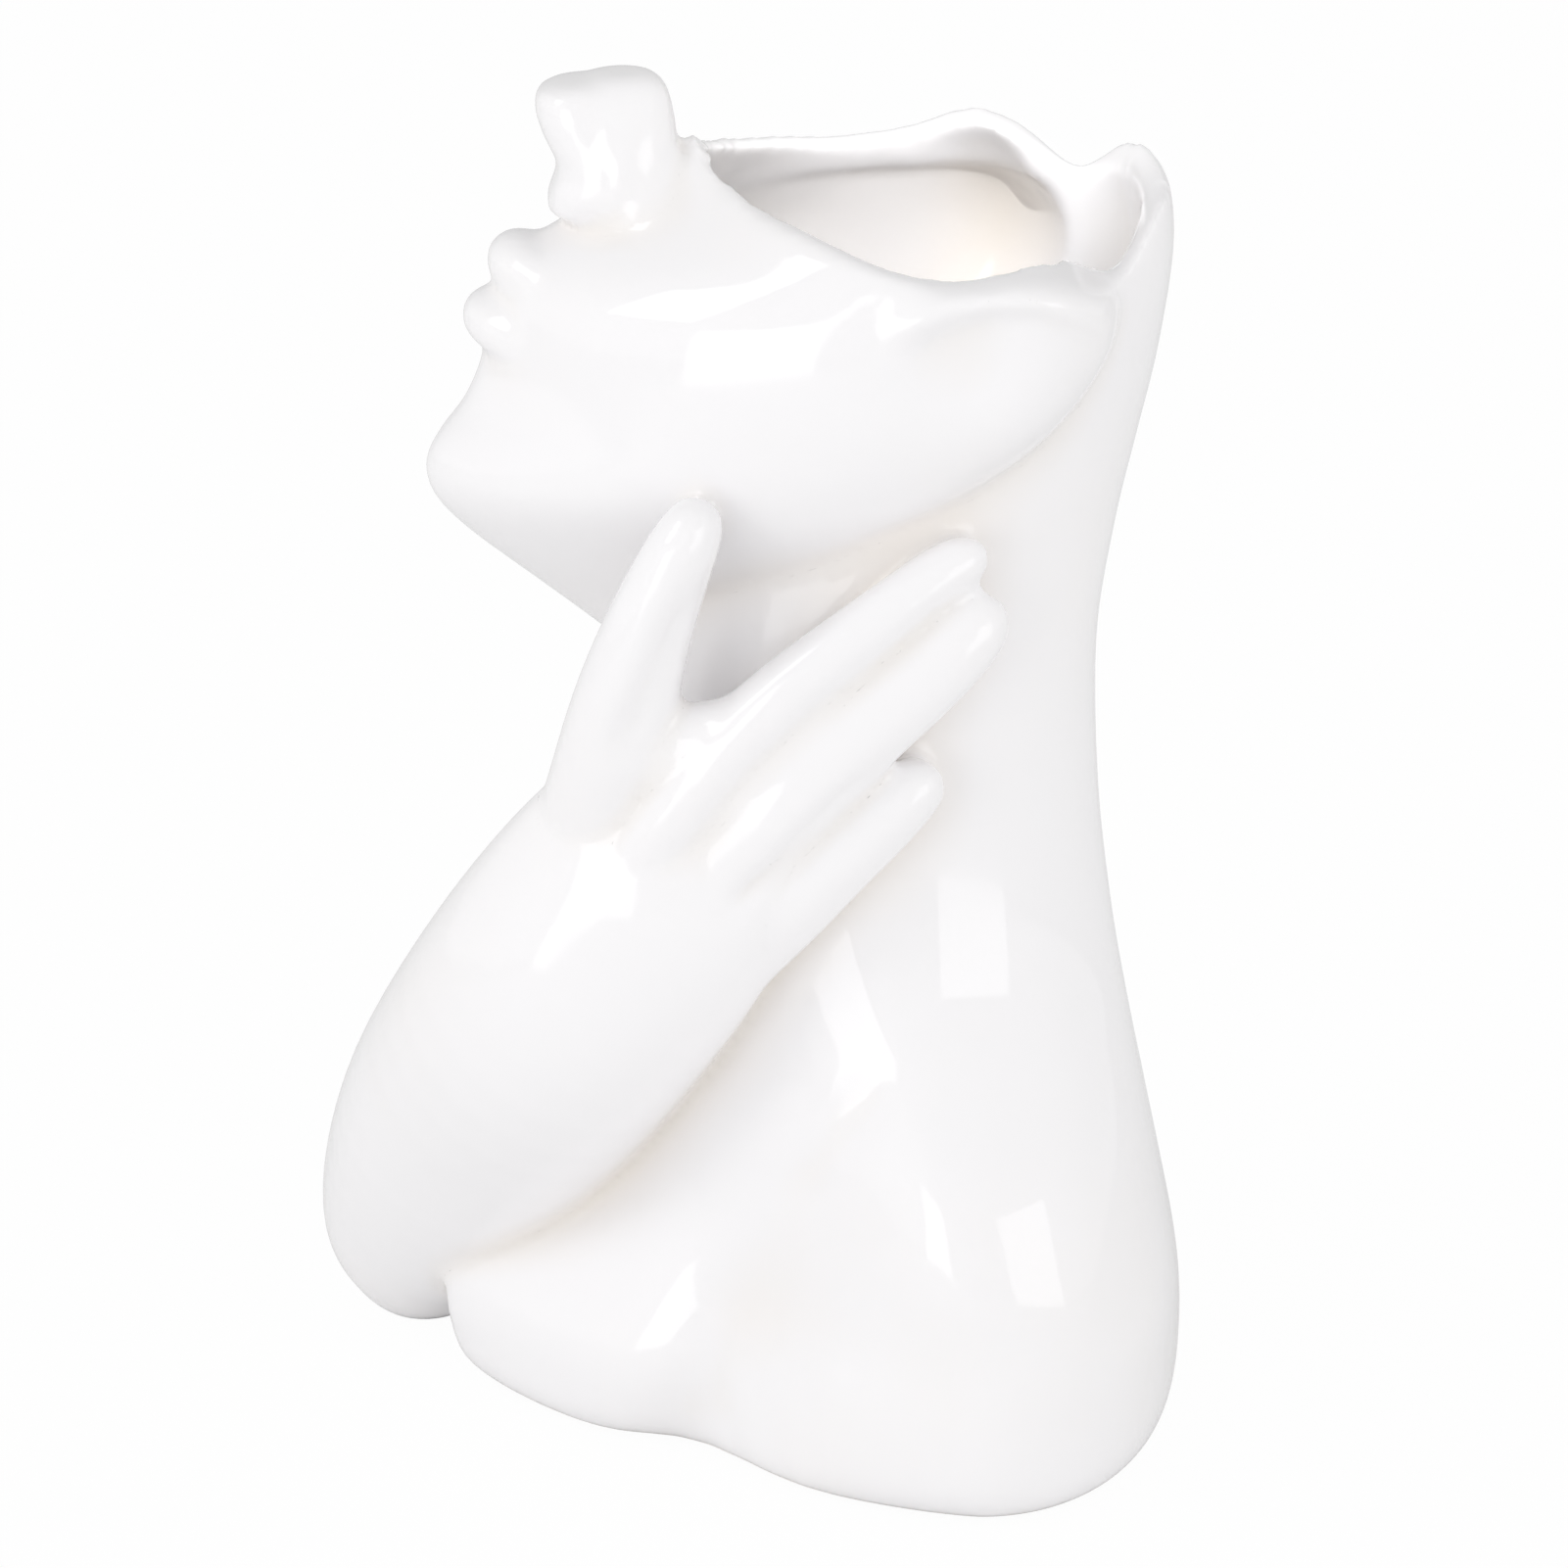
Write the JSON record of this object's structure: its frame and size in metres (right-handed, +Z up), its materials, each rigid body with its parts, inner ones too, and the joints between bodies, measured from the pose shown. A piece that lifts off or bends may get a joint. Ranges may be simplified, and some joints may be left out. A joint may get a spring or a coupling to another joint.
{
  "type": "face vase",
  "caption": "Hollow white glazed ceramic vase shaped as a cut-off head looking up, with neck, shoulders and a hand laid on the neck.",
  "frame": {"origin": "on the surface that the vase stands on, under the middle of the neck's front", "axes": "+Z up, the face and the elbow look along -X, the back of the neck is at +X, the hand lies on the -Y side of the neck"},
  "size_m": [0.1437, 0.1332, 0.2251],
  "materials": {
    "white_glaze": "glossy white glaze, faintly cream where it pools",
    "foot_glaze": "glossy white glaze with a bare biscuit underside"
  },
  "bodies": {
    "root": {"base_slab": "foot_glaze", "torso_shell": "white_glaze", "face_shell": "white_glaze", "nose": "white_glaze", "forearm": "white_glaze", "palm": "white_glaze", "thumb": "white_glaze", "index_finger": "white_glaze", "middle_fingers": "white_glaze", "little_finger": "white_glaze"}
  },
  "joints": []
}
